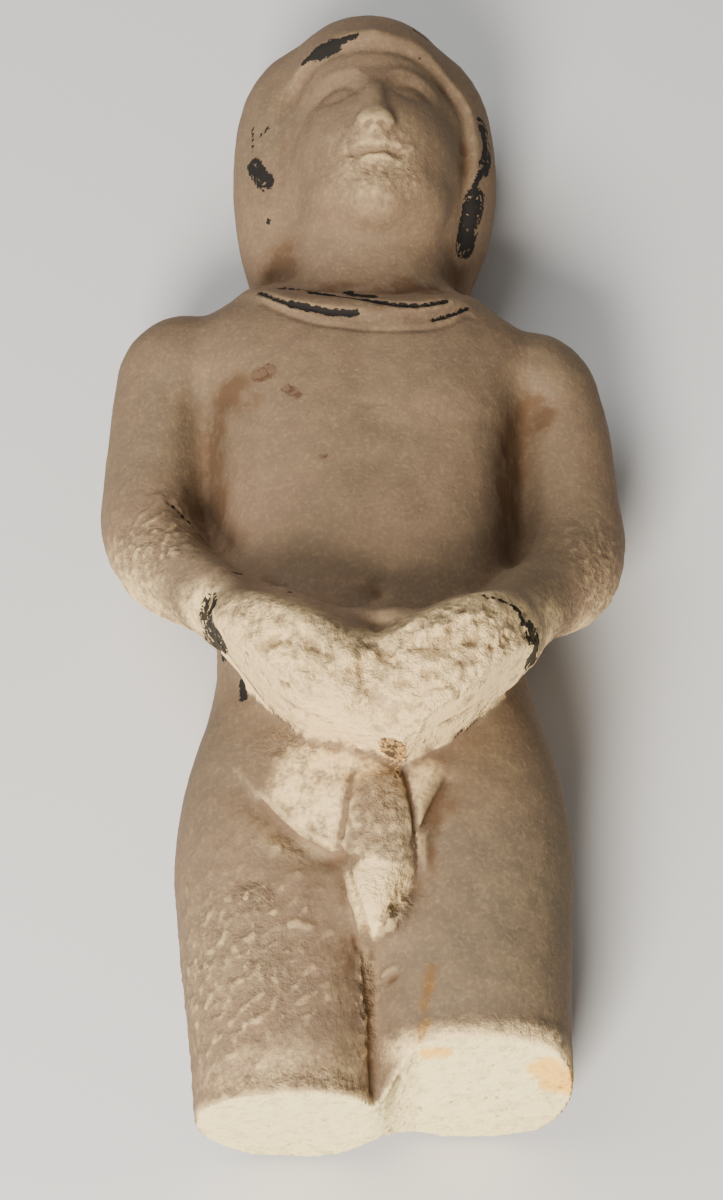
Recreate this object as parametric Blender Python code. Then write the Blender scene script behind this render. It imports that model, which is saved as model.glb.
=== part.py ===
"""Offering bearer statuette: a nude standing figure of soft limestone, broken off across the thighs.

It lies on its back. +Z is its front, +Y runs up the body to the crown, -X is its right arm.
The origin is under the middle of it, on the surface that it lies on. Metres throughout.
"""

from math import cos, pi, radians, sin, tan

import bmesh
import bpy
import numpy as np
from mathutils import Euler, Matrix, Vector, noise

# Driving sizes
FIGURE_LENGTH = 0.195       # from the break in the thighs to the crown
ELBOW_SPAN = 0.083          # across both elbows
BODY_DEPTH = 0.037          # from the back to the front of the belly
HEAD_WIDTH = 0.0456         # across the wig, at the cheeks
COLLAR_WIDTH = 0.0044       # of the twisted collar round the neck
COLLAR_RISE = 0.0012        # how far it stands out of the skin
LEG_CLEFT_WIDTH = 0.0018    # of the line cut between the thighs
LEG_CLEFT_DEPTH = 0.0014
HANDS_WALL = 0.0008         # lean of the cut below the hands to either side of their outline
NAVEL_WIDTH = 0.0030
NAVEL_DEPTH = 0.0011
BACK_DRESSING = 0.0012      # taken off the back, so that it lies flat
BREAK_ROUGHNESS = 0.0007    # height of the waves in the broken faces
BREAK_LEAN_RIGHT = radians(1.0)
BREAK_LEAN_LEFT = radians(11.0)

# How finely the stone is worked
CARVING_GRAIN = 0.0007      # edge of the cubes that fuse the lumps
BLENDING_PASSES = 16        # softens the joins between the lumps
CREASE_PASSES = 3           # softens the cut below the hands
BLENDING = 0.6              # share of the way each pass goes
BREAK_GRAIN = 0.0017        # edge of a facet in the broken faces
STONE_TRIANGLES = 8000      # of the carved skin, before the break is cut
BREAK_WAVES = (0.0187, 0.0068)  # lengths of the broad and the narrow waves in them
FLATNESS = 0.00007          # skin this near a flat patch is laid into it
STEEPNESS = 0.35            # carving fades where the stone turns away this far
STROKE_REACH = 2.4          # half widths past which a stroke is too low to matter
RING_SIDES = 40

# The figure's canon: one part is a millimetre on a figure of these sizes
CANON_LENGTH = 195.0
CANON_SPAN = 83.0
CANON_DEPTH = 37.0
CANON_HEAD = 45.6
LONG = FIGURE_LENGTH / CANON_LENGTH
WIDE = ELBOW_SPAN / CANON_SPAN
DEEP = BODY_DEPTH / CANON_DEPTH
HEAD_WIDE = HEAD_WIDTH / CANON_HEAD

# Trunk and thighs: along the body, middle, half width, back, front, squareness
TRUNK = (
    (-68, 0.0, 12.0, 8.0, 26.0, 2.2),
    (-58, 0.0, 24.0, 2.2, 33.6, 2.5),
    (-48, 0.0, 26.2, 0.8, 35.4, 2.5),
    (-39, -0.1, 25.0, 1.6, 35.8, 2.4),
    (-31, -0.3, 23.4, 3.2, 35.8, 2.4),
    (-19, -0.5, 23.6, 4.6, 37.0, 2.3),
    (-5, -0.6, 24.4, 4.4, 37.0, 2.3),
    (10, -0.8, 26.5, 2.6, 36.2, 2.4),
    (21, -1.0, 29.5, 1.0, 35.4, 2.6),
    (28, -2.0, 29.4, 1.2, 33.6, 2.6),
    (34, -2.8, 24.8, 3.2, 30.6, 2.4),
    (40, -2.4, 18.6, 5.6, 27.2, 2.2),
)
RIGHT_THIGH = (
    (-108, -12.0, 13.4, 2.4, 31.4, 2.4),
    (-94, -12.2, 13.9, 2.0, 32.2, 2.4),
    (-84, -12.3, 14.9, 1.6, 33.4, 2.4),
    (-72, -12.3, 16.3, 0.8, 34.6, 2.4),
    (-60, -12.5, 17.0, 0.2, 35.4, 2.4),
    (-48, -11.6, 16.2, 0.4, 35.2, 2.4),
    (-38, -10.5, 13.6, 2.6, 33.6, 2.4),
    (-30, -9.5, 8.0, 8.0, 28.0, 2.2),
)
LEFT_THIGH = (
    (-108, 12.6, 14.2, 2.4, 31.4, 2.4),
    (-94, 12.6, 14.6, 2.0, 32.2, 2.4),
    (-84, 12.2, 15.2, 1.6, 33.4, 2.4),
    (-72, 11.9, 16.3, 0.8, 34.6, 2.4),
    (-60, 11.9, 17.0, 0.2, 35.4, 2.4),
    (-48, 11.3, 16.2, 0.4, 35.2, 2.4),
    (-38, 10.4, 13.6, 2.6, 33.6, 2.4),
    (-30, 9.4, 8.0, 8.0, 28.0, 2.2),
)
NECK = (
    (30, 0.0, 15.0, 5.5, 30.2, 2.2),
    (36, 0.0, 15.0, 5.5, 30.8, 2.2),
    (43, 0.0, 14.0, 6.0, 30.8, 2.2),
    (57, 1.0, 14.0, 7.0, 31.2, 2.2),
)
WIG = (
    (91.4, 0.0, 10.0, 11.0, 25.0, 2.2),
    (88.4, 0.0, 16.6, 6.0, 28.6, 2.3),
    (83.5, 0.0, 20.2, 2.8, 30.6, 2.4),
    (78, 0.0, 21.9, 1.2, 31.4, 2.5),
    (71, 0.0, 22.8, 0.3, 31.2, 2.6),
    (63, 0.0, 22.8, 0.0, 30.0, 2.6),
    (55, -0.3, 21.6, 0.0, 28.2, 2.6),
    (47, -0.9, 19.0, 0.2, 26.0, 2.5),
    (41, -1.1, 17.6, 0.8, 23.6, 2.4),
    (36, -1.1, 16.4, 2.0, 20.0, 2.3),
)

# Arms and hands: across, along, up, half thickness. The right arm is carved higher than the left
RIGHT_ARM = (
    (-29.0, 27.0, 18.0, 8.6),
    (-31.2, 20.0, 18.0, 10.2),
    (-33.0, 12.0, 18.0, 9.2),
    (-34.1, 3.5, 18.2, 8.5),
    (-34.0, -4.0, 19.0, 8.5),
    (-30.6, -11.6, 21.6, 8.2),
    (-24.6, -18.8, 27.6, 7.0),
    (-19.4, -26.6, 33.6, 6.5),
    (-15.4, -33.4, 39.4, 8.0),
    (-10.6, -38.6, 43.0, 9.0),
    (-6.0, -42.8, 43.6, 9.2),
    (-2.4, -46.0, 42.0, 8.4),
)
LEFT_ARM = (
    (25.6, 22.6, 18.0, 8.6),
    (28.2, 15.6, 18.0, 10.2),
    (30.2, 8.0, 18.0, 9.2),
    (31.1, 0.0, 18.2, 8.5),
    (31.6, -8.0, 19.0, 8.5),
    (29.6, -15.0, 21.6, 8.2),
    (24.6, -21.4, 27.6, 7.0),
    (20.2, -28.4, 33.6, 6.5),
    (16.4, -34.2, 39.4, 8.0),
    (11.8, -39.2, 43.0, 9.0),
    (7.2, -43.2, 43.6, 9.2),
    (3.6, -46.6, 42.0, 8.4),
)

# Rounded lumps: across, along, up, their half sizes, and turns about X, Y and Z in degrees
ARM_LUMPS = {
    "right_shoulder": ((-30.0, 23.2, 17.4), (11.4, 12.8, 12.0), (0, 0, -6)),
    "left_shoulder": ((26.8, 18.4, 17.4), (11.2, 13.4, 12.0), (0, 0, 6)),
    "offering": ((0.6, -41.6, 42.8), (13.5, 10.5, 9.0), (24, 0, 0)),
    "offering_foot": ((1.8, -48.6, 40.6), (5.6, 5.0, 5.6), (0, 0, 0)),
}
BODY_LUMPS = {
    "belly": ((-0.5, -12.0, 25.5), (18.0, 22.0, 12.6), (0, 0, 0)),
    "right_buttock": ((-12.6, -56.0, 9.5), (14.0, 15.0, 10.2), (0, 0, 0)),
    "left_buttock": ((12.6, -56.0, 9.5), (14.0, 15.0, 10.2), (0, 0, 0)),
    "pubis": ((-0.6, -53.5, 32.0), (15.0, 13.0, 6.0), (-6, 0, 0)),
    "sex": ((0.9, -60.0, 34.0), (6.8, 10.5, 6.2), (-4, 0, 0)),
    "sex_tip": ((-0.3, -69.0, 32.8), (4.6, 8.4, 5.4), (-8, 0, 6)),
}
HEAD_LUMPS = {
    "crown": ((0.8, 78.0, 19.0), (16.6, 17.6, 18.4), (0, 0, 0)),
    "face": ((1.8, 62.0, 22.0), (15.0, 19.0, 17.4), (0, 0, 0)),
    "forehead": ((1.8, 71.0, 23.0), (14.2, 10.0, 14.6), (0, 0, 0)),
    "jaw": ((1.8, 53.0, 27.5), (12.4, 9.6, 10.8), (0, 0, 0)),
    "chin": ((1.8, 48.6, 33.6), (5.6, 4.6, 4.6), (0, 0, 0)),
    "nose": ((1.8, 64.6, 38.4), (2.5, 7.4, 3.0), (-13, 0, 0)),
    "nose_tip": ((1.8, 60.6, 40.0), (3.0, 2.6, 2.4), (0, 0, 0)),
}

# Collar: across and along, round the throat from the right side of the neck
COLLAR = (
    (-19.2, 36.6), (-15.6, 32.8), (-11.4, 30.0), (-5.0, 28.4),
    (0.5, 27.9), (6.5, 28.4), (12.4, 30.4), (19.6, 35.6),
)

# Carving on the front: half width, rise out of the stone or into it, and the path across and along
FRONT_STROKES = {
    "right_arm_fold": (3.4, -3.4, (-25.4, 15.5), (-25.0, 6.0), (-25.2, -4.0), (-23.2, -12.0)),
    "left_arm_fold": (3.4, -3.4, (25.0, 13.5), (23.0, 5.0), (22.4, -5.0), (21.4, -14.0)),
    "right_forearm_fold": (1.8, -1.6, (-25.2, -9.5), (-20.4, -18.5), (-15.6, -26.0)),
    "left_forearm_fold": (1.8, -1.6, (23.6, -12.5), (19.0, -20.0), (15.0, -26.5)),
    "breastbone": (3.0, -0.5, (0.0, 24.0), (0.0, 6.0)),
    "breast_edge": (2.6, -0.3, (0.0, 6.0), (9.5, 3.2), (19.0, 5.6)),
    "belly_line": (1.8, -0.2, (-0.8, -4.0), (0.6, -24.0)),
    "right_palm_edge": (1.7, -1.5, (-17.5, -27.0), (-11.0, -31.4), (-5.0, -34.6), (0.5, -36.4)),
    "left_palm_edge": (1.7, -1.5, (0.5, -36.4), (6.0, -34.4), (12.5, -30.0), (17.6, -27.4)),
    "palm_dip": (3.2, -1.8, (0.4, -34.0), (0.5, -41.0)),
    "right_thumb": (1.8, 0.8, (-16.6, -31.2), (-11.0, -35.2), (-5.4, -38.6)),
    "left_thumb": (1.8, 0.8, (17.2, -31.6), (12.0, -34.6), (6.4, -38.2)),
    "right_groin": (1.2, -0.7, (-16.6, -57.3), (-11.9, -62.2), (-8.0, -64.8), (-4.7, -65.5)),
    "left_groin": (1.2, -0.9, (10.8, -54.0), (9.2, -58.8), (8.2, -63.5), (6.8, -69.0), (3.2, -73.6)),
    "thigh_valley": (4.4, -1.5, (-0.4, -81.0), (-0.4, -90.0), (-0.4, -110.0)),
    "right_hairline": (1.1, -1.1, (-16.4, 41.5), (-13.6, 53.0), (-13.2, 63.0), (-13.0, 71.5), (-9.6, 76.4)),
    "brow_hairline": (1.1, -0.7, (-9.6, 76.4), (-5.0, 78.2), (1.6, 78.6), (8.2, 78.2), (13.2, 75.8)),
    "left_hairline": (1.1, -1.1, (13.2, 75.8), (17.0, 71.5), (17.1, 62.0), (16.4, 53.0), (15.4, 42.0)),
    "right_wig_edge": (1.8, 0.7, (-15.4, 54.0), (-15.2, 66.0), (-13.6, 75.0), (-6.0, 80.8), (1.6, 81.4)),
    "left_wig_edge": (1.8, 0.7, (1.6, 81.4), (9.6, 80.8), (16.8, 74.5), (19.0, 66.0), (18.2, 54.0)),
    "throat": (4.0, -0.8, (-12.0, 42.0), (1.0, 39.0), (13.0, 42.0)),
    "mouth": (0.7, -0.7, (-1.8, 55.4), (1.8, 55.9), (5.4, 55.4)),
    "brow": (1.3, 0.45, (-6.8, 72.4), (-3.0, 73.6), (1.8, 72.6), (6.6, 73.6), (10.4, 72.4)),
}
BACK_STROKES = {
    "spine": (3.0, -1.3, (0.0, 30.0), (0.0, -38.0)),
    "seat_cleft": (1.8, -3.0, (0.0, -42.0), (0.0, -67.0)),
    "thigh_cleft": (1.8, -1.6, (0.0, -67.0), (0.0, -110.0)),
    "right_seat_fold": (2.0, -0.9, (-3.0, -70.0), (-13.0, -72.0), (-22.0, -69.5)),
    "left_seat_fold": (2.0, -0.9, (3.0, -70.0), (13.0, -72.0), (22.0, -69.5)),
    "wig_hem": (1.5, -1.8, (-19.0, 38.0), (-10.0, 34.6), (0.0, 33.6), (10.0, 34.6), (19.0, 38.0)),
}
# Carving that is no line: across, along, half sizes, rise
FRONT_DABS = {
    "right_breast": (-12.6, 11.6, 9.0, 7.0, 0.5),
    "left_breast": (13.0, 10.8, 9.0, 7.0, 1.1),
    "right_eye_socket": (-4.0, 70.0, 3.6, 2.2, -1.0),
    "left_eye_socket": (7.6, 70.0, 3.6, 2.2, -1.0),
    "right_eyelid": (-4.0, 69.8, 2.2, 1.1, 0.55),
    "left_eyelid": (7.6, 69.8, 2.2, 1.1, 0.55),
    "lips": (1.8, 55.6, 3.8, 2.4, 0.7),
    "right_cheek": (-5.6, 61.0, 4.6, 4.6, 0.5),
    "left_cheek": (9.2, 61.0, 4.6, 4.6, 0.5),
    "under_lip": (1.8, 52.6, 3.0, 1.2, -0.5),
}
BACK_DABS = {
    "right_shoulder_blade": (-15.0, 16.0, 8.0, 9.0, 0.8),
    "left_shoulder_blade": (15.0, 14.0, 8.0, 9.0, 0.8),
}
NAVEL_PLACE = (0.6, -24.7)
LEG_CLEFT = ((-0.5, -79.0), (-0.6, -88.0), (-0.4, -110.0))
KNUCKLES = ((16.0, -36.0), (11.0, -48.5))   # outer ends of the outermost fingers of a hand
FINGERTIPS = ((3.4, -41.5), (2.2, -53.0))
HANDS_MIDDLE = 0.6
FINGERS = 4
FINGER_GROOVE = (0.8, -0.75)                # half width and rise

# Where the joined hands and the forearms end over the body, and how far down nothing of them is left
HANDS_OUTLINE = (
    (-29.0, -27.4), (-25.0, -29.6), (-22.4, -32.2), (-19.8, -36.0), (-16.8, -40.3), (-13.4, -44.5),
    (-10.4, -47.5), (-4.5, -49.5), (1.0, -51.6), (4.2, -53.0), (7.0, -51.0), (11.2, -48.4),
    (14.6, -45.9), (18.1, -42.2), (21.0, -39.4), (24.0, -36.6), (26.4, -34.2), (29.0, -31.6),
)
CLEARED_TO = -66.0

# The break: how far down each thigh is kept, at the back, and where one face turns into the other
BREAK_RIGHT = -98.8
BREAK_LEFT = -97.3
BREAK_STEP = (-1.5, 5.0)


def place(x, y, z, wide=WIDE):
    """A point of the canon, in metres."""
    return Vector((x * wide, y * LONG, z * DEEP))


def smooth_rows(rows, steps=6):
    """Rows read from a curve through the given rows, with steps of them between two."""
    rows = np.array(rows, float)
    ends = np.vstack((2 * rows[0] - rows[1], rows, 2 * rows[-1] - rows[-2]))
    found = []
    for a, b, c, d in zip(ends, ends[1:], ends[2:], ends[3:]):
        for t in np.linspace(0, 1, steps, endpoint=False):
            curve = 2 * b + (c - a) * t + (2 * a - 5 * b + 4 * c - d) * t**2 + (3 * b - a - 3 * c + d) * t**3
            found.append(curve / 2)
    return np.array(found + [rows[-1]])


def rounded_section(squareness):
    """The points round a section of half size 1, from an ellipse at 2 towards a square."""
    for step in range(RING_SIDES):
        angle = 2 * pi * step / RING_SIDES
        across, up = cos(angle), sin(angle)
        yield (
            abs(across) ** (2 / squareness) * (1 if across >= 0 else -1),
            abs(up) ** (2 / squareness) * (1 if up >= 0 else -1),
        )


def new_piece(name, shape):
    """An object from a mesh under work, which is freed."""
    bmesh.ops.recalc_face_normals(shape, faces=shape.faces)
    mesh = bpy.data.meshes.new(name)
    shape.to_mesh(mesh)
    shape.free()
    piece = bpy.data.objects.new(name, mesh)
    bpy.context.scene.collection.objects.link(piece)
    return piece


def closed_skin(name, rings):
    """A closed mesh over rings of points, with a face on each end."""
    shape = bmesh.new()
    loops = [[shape.verts.new(point) for point in ring] for ring in rings]
    for low, high in zip(loops, loops[1:]):
        for i in range(RING_SIDES):
            j = (i + 1) % RING_SIDES
            shape.faces.new((low[i], low[j], high[j], high[i]))
    shape.faces.new(loops[0])
    shape.faces.new(loops[-1])
    return new_piece(name, shape)


def trunk_piece(name, rows, wide=WIDE):
    """A piece that runs along the body, through sections square to it."""
    rings = []
    for y, middle, half, back, front, squareness in smooth_rows(rows):
        centre = place(middle, y, (front + back) / 2, wide)
        reach = place(half, 0, (front - back) / 2, wide)
        rings.append([centre + Vector((u * reach.x, 0, v * reach.z)) for u, v in rounded_section(squareness)])
    return closed_skin(name, rings)


def limb_piece(name, rows):
    """A round limb that bends through its points."""
    rows = smooth_rows(rows)
    centres = [place(*row[:3]) for row in rows]
    rings = []
    for i, centre in enumerate(centres):
        ahead = (centres[min(i + 1, len(centres) - 1)] - centres[max(i - 1, 0)]).normalized()
        aside = ahead.cross(Vector((0, 0, 1))).normalized()
        above = aside.cross(ahead)
        half = float(rows[i][3]) * (WIDE + DEEP) / 2
        rings.append([centre + half * (u * aside + v * above) for u, v in rounded_section(2)])
    return closed_skin(name, rings)


def lump(name, centre, half_sizes, turns, wide=WIDE):
    """A rounded lump of stone."""
    turn = Euler([radians(angle) for angle in turns]).to_matrix().to_4x4()
    sizes = Matrix.Diagonal((*half_sizes, 1))
    canon = Matrix.Diagonal((wide, LONG, DEEP, 1))
    shape = bmesh.new()
    bmesh.ops.create_icosphere(shape, subdivisions=4, radius=1)
    shape.transform(canon @ Matrix.Translation(centre) @ turn @ sizes)
    return new_piece(name, shape)


def work_in(piece):
    """Puts the piece's modifiers into its mesh."""
    graph = bpy.context.evaluated_depsgraph_get()
    piece.data = bpy.data.meshes.new_from_object(piece.evaluated_get(graph))
    piece.modifiers.clear()


def fuse(name, pieces, passes):
    """One stone with a closed skin from the lumps, its joins softened by this many passes."""
    shape = bmesh.new()
    for piece in pieces:
        shape.from_mesh(piece.data)
    stone = new_piece(name, shape)
    cubes = stone.modifiers.new("cubes", "REMESH")
    cubes.mode = "VOXEL"
    cubes.voxel_size = CARVING_GRAIN
    soften = stone.modifiers.new("soften", "SMOOTH")
    soften.factor = BLENDING
    soften.iterations = passes
    work_in(stone)
    return stone


def points_of(stone):
    """The stone's points, in metres, and how far each faces the front."""
    count = len(stone.data.vertices)
    points = np.empty(count * 3)
    stone.data.vertices.foreach_get("co", points)
    facing = np.empty(count * 3)
    stone.data.vertex_normals.foreach_get("vector", facing)
    return points.reshape(-1, 3), facing.reshape(-1, 3)[:, 2]


def set_points(stone, points):
    stone.data.vertices.foreach_set("co", points.ravel())
    stone.data.update()


def plan(path, wide=WIDE):
    """A path of the canon, smoothed, in metres."""
    return smooth_rows(path, steps=4) * (wide, LONG)


def raise_line(points, rise, path, half_width, height, flatness=2):
    """Adds a ridge or groove along a path, seen from the front. Past 2, its flatness gives it a flat top."""
    reach = STROKE_REACH * half_width
    low, high = path.min(axis=0) - reach, path.max(axis=0) + reach
    near = np.flatnonzero(np.all((points > low) & (points < high), axis=1))
    distance = np.full(len(near), np.inf)
    for start, end in zip(path, path[1:]):
        run = end - start
        share = np.clip((points[near] - start) @ run / (run @ run), 0, 1)
        distance = np.minimum(distance, np.linalg.norm(points[near] - start - share[:, None] * run, axis=1))
    rise[near] += height * np.exp(-((distance / half_width) ** flatness))


def raise_dab(points, rise, centre, half_sizes, height):
    """Adds a rounded rise or hollow."""
    rise += height * np.exp(-(((points - centre) / half_sizes) ** 2).sum(axis=1))


def wide_at(along):
    """The head keeps a width of its own, and the body below it another."""
    return HEAD_WIDE if along > COLLAR[0][1] else WIDE


def raise_canon(points, rise, strokes, dabs):
    """Adds strokes and dabs of the canon."""
    for half_width, height, *path in strokes.values():
        raise_line(points, rise, plan(path, wide_at(path[-1][1])), half_width * WIDE, height * DEEP)
    for across, along, half_across, half_along, height in dabs.values():
        wide = wide_at(along)
        centre, half_sizes = (across * wide, along * LONG), (half_across * wide, half_along * LONG)
        raise_dab(points, rise, centre, half_sizes, height * DEEP)


def raise_fingers(points, rise):
    """Adds the lines between the fingers of both hands, which run together at the tips."""
    half_width, height = FINGER_GROOVE
    for side in (-1, 1):
        for line in range(1, FINGERS):
            share = line / FINGERS
            path = []
            for (near_x, near_y), (far_x, far_y) in (KNUCKLES, FINGERTIPS):
                across = near_x + (far_x - near_x) * share
                path.append((HANDS_MIDDLE + side * across, near_y + (far_y - near_y) * share))
            raise_line(points, rise, plan(path), half_width * WIDE, height * DEEP)


def carve_front(stone):
    points, facing = points_of(stone)
    rise = np.zeros(len(points))
    flat = points[:, :2]
    raise_canon(flat, rise, FRONT_STROKES, FRONT_DABS)
    raise_fingers(flat, rise)
    raise_line(flat, rise, plan(COLLAR), COLLAR_WIDTH / 2, COLLAR_RISE, flatness=4)
    raise_line(flat, rise, plan(LEG_CLEFT), LEG_CLEFT_WIDTH / 2, -LEG_CLEFT_DEPTH)
    navel = (NAVEL_PLACE[0] * WIDE, NAVEL_PLACE[1] * LONG)
    raise_dab(flat, rise, navel, (NAVEL_WIDTH / 2, NAVEL_WIDTH / 2), -NAVEL_DEPTH)
    points[:, 2] += rise * np.clip(facing / STEEPNESS, 0, 1)
    set_points(stone, points)


def carve_back(stone):
    """The back, and the flat patches that it lies on."""
    points, facing = points_of(stone)
    rise = np.zeros(len(points))
    raise_canon(points[:, :2], rise, BACK_STROKES, BACK_DABS)
    points[:, 2] -= rise * np.clip(-facing / STEEPNESS, 0, 1)
    points[:, 2] = np.maximum(points[:, 2], BACK_DRESSING)
    set_points(stone, points)


def cut_away(stone, block):
    """Takes the block's shape out of the stone, and removes the block."""
    cut = stone.modifiers.new("cut", "BOOLEAN")
    cut.operation = "DIFFERENCE"
    cut.solver = "EXACT"
    cut.object = block
    work_in(stone)
    bpy.data.objects.remove(block)


def clear_below_hands(stone):
    """Cuts the stone away below the hands, across the whole body, from their outline on."""
    outline = list(HANDS_OUTLINE) + [(HANDS_OUTLINE[-1][0], CLEARED_TO), (HANDS_OUTLINE[0][0], CLEARED_TO)]
    shape = bmesh.new()
    low, high = (
        [shape.verts.new((x * WIDE, y * LONG + shift, z)) for x, y in outline]
        for shift, z in ((HANDS_WALL, 0), (-HANDS_WALL, 2 * BODY_DEPTH))
    )
    for i, corner in enumerate(low):
        shape.faces.new((low[i - 1], corner, high[i], high[i - 1]))
    shape.faces.new(low)
    shape.faces.new(high)
    cut_away(stone, new_piece("clearing_block", shape))


def thin(stone):
    """Keeps few triangles, the most of them where the carving bends, and flat patches flat."""
    less = stone.modifiers.new("less", "DECIMATE")
    less.ratio = STONE_TRIANGLES / (2 * len(stone.data.polygons))
    less.use_collapse_triangulate = True
    work_in(stone)
    points, _ = points_of(stone)
    points[points[:, 2] < BACK_DRESSING + FLATNESS, 2] = BACK_DRESSING
    set_points(stone, points)


def break_height(x, z):
    """Where the thighs end, across and up the break."""
    low, high = (edge * WIDE for edge in BREAK_STEP)
    share = min(max((x - low) / (high - low), 0), 1)
    share = share * share * (3 - 2 * share)
    right = BREAK_RIGHT * LONG + z * tan(BREAK_LEAN_RIGHT)
    left = BREAK_LEFT * LONG + z * tan(BREAK_LEAN_LEFT)
    broad, narrow = (noise.noise(Vector((x, i, z)) / wave) for i, wave in enumerate(BREAK_WAVES))
    return right + (left - right) * share + (broad + narrow / 2) * BREAK_ROUGHNESS


def break_thighs(stone):
    """Cuts the thighs off at the break, with a block whose top is the broken face."""
    low, high = np.array([corner[:] for corner in stone.bound_box])[[0, 6]]
    across = np.arange(low[0], high[0], BREAK_GRAIN)
    up = np.arange(low[2] - BREAK_GRAIN, high[2] + BREAK_GRAIN, BREAK_GRAIN)
    shape = bmesh.new()
    top = [[shape.verts.new((x, break_height(x, z), z)) for z in up] for x in across]
    ends = (up[0], up[-1])
    foot = [[shape.verts.new((x, -FIGURE_LENGTH, z)) for z in ends] for x in (across[0], across[-1])]
    for i in range(len(across) - 1):
        for j in range(len(up) - 1):
            shape.faces.new((top[i][j], top[i + 1][j], top[i + 1][j + 1], top[i][j + 1]))
    (a, b), (c, d) = foot
    shape.faces.new((a, b, d, c))
    shape.faces.new([row[0] for row in top] + [c, a])
    shape.faces.new([row[-1] for row in top] + [d, b])
    shape.faces.new(top[0] + [b, a])
    shape.faces.new(top[-1] + [d, c])
    cut_away(stone, new_piece("break_block", shape))


def rest_on_floor(stone):
    """Puts the origin under the middle of the stone, with its flat patches on the floor."""
    points, _ = points_of(stone)
    low, high = points.min(axis=0), points.max(axis=0)
    middle = (low + high) / 2
    stone.data.transform(Matrix.Translation((-middle[0], -middle[1], -low[2])))


def limestone():
    """Pale soft limestone, grey-brown with handling."""
    material = bpy.data.materials.new("limestone")
    material.use_nodes = True
    shader = material.node_tree.nodes["Principled BSDF"]
    shader.inputs["Base Color"].default_value = (0.52, 0.42, 0.30, 1)
    shader.inputs["Roughness"].default_value = 0.9
    return material


def main():
    for old in list(bpy.data.objects):
        bpy.data.objects.remove(old)
    body = [
        trunk_piece("trunk", TRUNK),
        trunk_piece("right_thigh", RIGHT_THIGH),
        trunk_piece("left_thigh", LEFT_THIGH),
    ]
    body += [lump(name, *sizes) for name, sizes in BODY_LUMPS.items()]
    rest = [
        trunk_piece("neck", NECK, HEAD_WIDE),
        trunk_piece("wig", WIG, HEAD_WIDE),
        limb_piece("right_arm", RIGHT_ARM),
        limb_piece("left_arm", LEFT_ARM),
    ]
    rest += [lump(name, *sizes) for name, sizes in ARM_LUMPS.items()]
    rest += [lump(name, *sizes, wide=HEAD_WIDE) for name, sizes in HEAD_LUMPS.items()]
    upper = fuse("upper", body + rest, BLENDING_PASSES)
    bare_body = fuse("bare_body", body, BLENDING_PASSES)
    clear_below_hands(upper)
    statuette = fuse("statuette", [upper, bare_body], CREASE_PASSES)
    for piece in body + rest + [upper, bare_body]:
        bpy.data.objects.remove(piece)
    carve_front(statuette)
    carve_back(statuette)
    thin(statuette)
    break_thighs(statuette)
    rest_on_floor(statuette)
    statuette.data.materials.append(limestone())


main()
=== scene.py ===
"""Offering bearer statuette: the carved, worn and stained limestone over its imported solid.

It lies on its back on a pale floor. +Z is its front, +Y runs up the body to the crown, -X is its right arm.
Places in the tables are millimetres in that frame. A place with two numbers lies on the front of the stone.
"""

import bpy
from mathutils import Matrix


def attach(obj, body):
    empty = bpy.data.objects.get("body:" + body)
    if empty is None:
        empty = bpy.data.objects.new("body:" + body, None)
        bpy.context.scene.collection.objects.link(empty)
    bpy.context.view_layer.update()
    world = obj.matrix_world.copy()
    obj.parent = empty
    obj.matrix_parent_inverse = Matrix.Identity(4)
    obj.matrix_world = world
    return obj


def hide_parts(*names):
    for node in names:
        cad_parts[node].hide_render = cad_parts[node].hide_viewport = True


bl_info = {
    "name": "Offering Bearer Statuette",
    "version": (1, 0, 0),
    "blender": (4, 5, 0),
    "location": "View3D > Sidebar > Statuette",
    "description": "Carves, wears and colours a limestone votive figure over its solid",
    "category": "Object",
}

from math import cos, radians, sin

import bmesh
import bpy
import numpy as np
from bpy.props import FloatProperty, FloatVectorProperty, IntProperty, PointerProperty
from mathutils import Matrix, Vector, noise
from mathutils.bvhtree import BVHTree

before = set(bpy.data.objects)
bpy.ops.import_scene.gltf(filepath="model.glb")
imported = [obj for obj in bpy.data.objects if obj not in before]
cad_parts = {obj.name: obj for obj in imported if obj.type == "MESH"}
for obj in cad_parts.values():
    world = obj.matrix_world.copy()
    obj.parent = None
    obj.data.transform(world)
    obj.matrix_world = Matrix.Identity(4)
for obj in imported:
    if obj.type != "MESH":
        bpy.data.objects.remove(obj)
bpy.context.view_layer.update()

MM = 0.001
FAR = 3.0                   # how far out a stain's field is followed
FRONT = 60.0                # a height above the whole stone
MIDDLE = 15.0               # the height of its widest outline
STEEP = 0.65                # how far up a wall may face
UNDERSIDE = -0.175          # stains and paint stay where the stone faces further up than this
RIM_ANGLE = radians(40)     # a sharper bend is the rim of a broken face
RIM_BELOW = -80.0           # along the body
BREAK_BELOW = -88.0         # where the broken faces begin
BREAK_FACING = -0.55        # how far down the body they face at least

# Relief: lengths of its waves and sizes of its chips
WAVE_LENGTH = 6.5
TOOL_LENGTH = 1.5
TOOL_WAY = ((0.8, 0.6, 0), 2.6)
BROAD_CHIP, NARROW_CHIP, FINE_CHIP = 3.2, 1.5, 0.95
EVEN_TOOLING = 0.12         # share of the tool marks outside the tooled patches
HANDS_CHIPPED = 1.5         # share of the chips on the hands
HANDS_CHIPPED_FROM = (34.0, 5.0)
HANDS_FADE = 6.0            # how wide the chips fade in on their upper side
BREAK_CHIPPED = 0.4

# Lights: place, aim, edge of the square, colour
KEY_LIGHT = ((-0.18, -0.61, 0.43), (0, -0.02, 0.02), 0.26, (1.0, 0.95, 0.87))
FILL_LIGHT = ((-0.45, 0.25, 0.75), (0, 0, 0.02), 0.7, (0.95, 0.97, 1.0))
SKY_COLOUR = (1.0, 0.98, 0.95, 1)
FILM_HEIGHT = 24            # millimetres

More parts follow.
